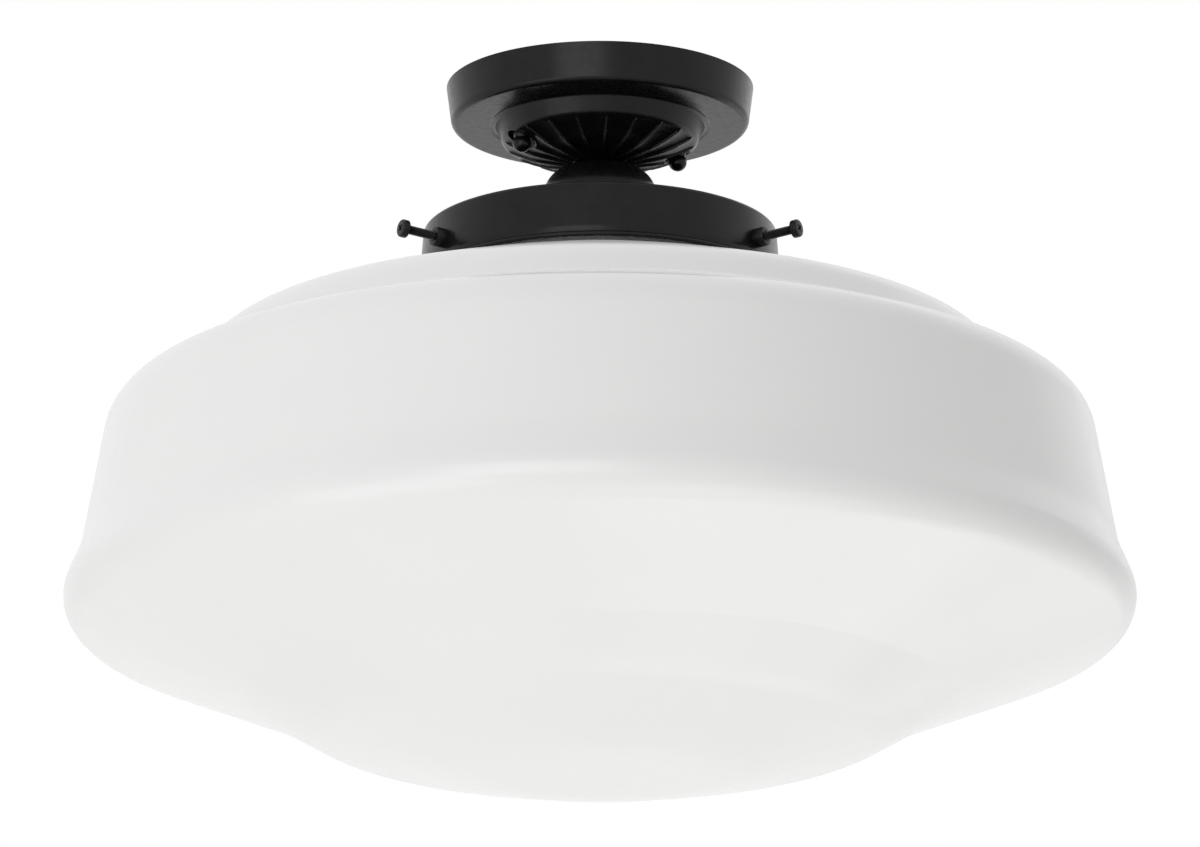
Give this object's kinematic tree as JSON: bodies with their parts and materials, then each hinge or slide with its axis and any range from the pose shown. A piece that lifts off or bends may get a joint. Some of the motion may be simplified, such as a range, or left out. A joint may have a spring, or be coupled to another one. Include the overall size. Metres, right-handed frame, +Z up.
{
  "type": "semi flush ceiling light",
  "caption": "Semi flush ceiling light: round pressed canopy, ball-shaped socket cup and black fitter holder with side screws that carry a wide stepped opal glass shade.",
  "frame": {"origin": "in the ceiling plane, on the light's vertical axis, at the centre of the mounting bar's top face and of the canopy's rim", "axes": "+Z up into the ceiling, +X along the mounting bar towards the right ball nut, +Y to the back; everything hangs below z = 0"},
  "size_m": [0.4578, 0.4578, 0.3102],
  "materials": {
    "black_steel": "satin",
    "zinc_steel": "satin",
    "green_screw": "gloss",
    "brass": "satin",
    "opal_glass": "gloss",
    "porcelain": "gloss",
    "aluminium": "satin",
    "nylon": "matte",
    "lamp_glass": "satin",
    "clear_glass": "gloss",
    "black_glass": "gloss",
    "tungsten": "satin",
    "black_cable": "satin",
    "white_cable": "satin",
    "orange_plastic": "satin"
  },
  "bodies": {
    "ceiling_mount": {"mounting_bar": "zinc_steel", "canopy_studs": "zinc_steel", "stud_nuts": "zinc_steel", "ground_screw": "green_screw"},
    "fixture": {"canopy": "black_steel", "nipple": "zinc_steel", "lock_nuts": "zinc_steel", "lock_washers": "zinc_steel", "socket_cup": "black_steel", "shade_holder": "black_steel", "holder_bosses": "black_steel", "socket_bracket": "zinc_steel", "bracket_screws": "zinc_steel", "socket_body": "porcelain", "socket_shell": "aluminium", "shell_rivets": "brass", "shell_tab": "brass", "contact_rivet": "brass", "contact_spring": "brass", "lead_black": "black_cable", "lead_white": "white_cable", "wire_connector_black": "orange_plastic", "wire_connector_white": "orange_plastic"},
    "ball_nut_left": {"ball_nut_left": "black_steel"},
    "ball_nut_right": {"ball_nut_right": "black_steel"},
    "shade": {"glass_shade": "opal_glass"},
    "lamp_contact": {"lamp_contact": "zinc_steel"},
    "lamp": {"lamp_insulator": "black_glass", "lamp_shell": "aluminium", "lamp_glass": "lamp_glass", "lamp_stem": "clear_glass", "lamp_filament": "tungsten"},
    "screw_pad_1": {"screw_pad_1": "nylon"},
    "side_screw_1": {"side_screw_1": "black_steel"},
    "screw_pad_2": {"screw_pad_2": "nylon"},
    "side_screw_2": {"side_screw_2": "black_steel"},
    "screw_pad_3": {"screw_pad_3": "nylon"},
    "side_screw_3": {"side_screw_3": "black_steel"}
  },
  "joints": [
    {"name": "canopy_drop", "type": "slide", "parent": "ceiling_mount", "child": "fixture", "axis": [0, 0, -1], "range_m": [0, 0.0055]},
    {"name": "ball_nut_left_turn", "type": "hinge", "parent": "fixture", "child": "ball_nut_left", "pos_m": [-0.0365, 0, -0.0238], "axis": [0, 0, -1], "range_deg": [0, 2500]},
    {"name": "ball_nut_right_turn", "type": "hinge", "parent": "fixture", "child": "ball_nut_right", "pos_m": [0.0365, 0, -0.0238], "axis": [0, 0, -1], "range_deg": [0, 2500]},
    {"name": "shade_drop", "type": "slide", "parent": "fixture", "child": "shade", "axis": [0, 0, -1], "range_m": [0, 0.024]},
    {"name": "lamp_travel", "type": "slide", "parent": "fixture", "child": "lamp_contact", "axis": [0, 0, -1], "range_m": [0, 0.024]},
    {"name": "lamp_turn", "type": "hinge", "parent": "lamp_contact", "child": "lamp", "pos_m": [0, 0, -0.1], "axis": [0, 0, -1], "range_deg": [0, 2385]},
    {"name": "side_screw_1_travel", "type": "slide", "parent": "fixture", "child": "screw_pad_1", "axis": [0.3737, 0.9249, 0.0698], "range_m": [0, 0.0102]},
    {"name": "side_screw_1_turn", "type": "hinge", "parent": "screw_pad_1", "child": "side_screw_1", "pos_m": [0.02899, 0.07174, -0.0796], "axis": [0.3737, 0.9249, 0.0698], "range_deg": [0, 4580]},
    {"name": "side_screw_2_travel", "type": "slide", "parent": "fixture", "child": "screw_pad_2", "axis": [-0.9879, -0.1388, 0.0698], "range_m": [0, 0.0102]},
    {"name": "side_screw_2_turn", "type": "hinge", "parent": "screw_pad_2", "child": "side_screw_2", "pos_m": [-0.07663, -0.01077, -0.0796], "axis": [-0.9879, -0.1388, 0.0698], "range_deg": [0, 4580]},
    {"name": "side_screw_3_travel", "type": "slide", "parent": "fixture", "child": "screw_pad_3", "axis": [0.6142, -0.7861, 0.0698], "range_m": [0, 0.0102]},
    {"name": "side_screw_3_turn", "type": "hinge", "parent": "screw_pad_3", "child": "side_screw_3", "pos_m": [0.04764, -0.06098, -0.0796], "axis": [0.6142, -0.7861, 0.0698], "range_deg": [0, 4580]}
  ],
  "couplings": [
    {"joint": "ball_nut_left_turn", "follows": "canopy_drop", "rad_per_m": 7915.8},
    {"joint": "ball_nut_right_turn", "follows": "canopy_drop", "rad_per_m": 7915.8},
    {"joint": "lamp_turn", "follows": "lamp_travel", "rad_per_m": 1731.6},
    {"joint": "side_screw_1_travel", "follows": "shade_drop", "ratio": 0.42},
    {"joint": "side_screw_1_turn", "follows": "shade_drop", "rad_per_m": 3324.6},
    {"joint": "side_screw_2_travel", "follows": "shade_drop", "ratio": 0.42},
    {"joint": "side_screw_2_turn", "follows": "shade_drop", "rad_per_m": 3324.6},
    {"joint": "side_screw_3_travel", "follows": "shade_drop", "ratio": 0.42},
    {"joint": "side_screw_3_turn", "follows": "shade_drop", "rad_per_m": 3324.6}
  ]
}
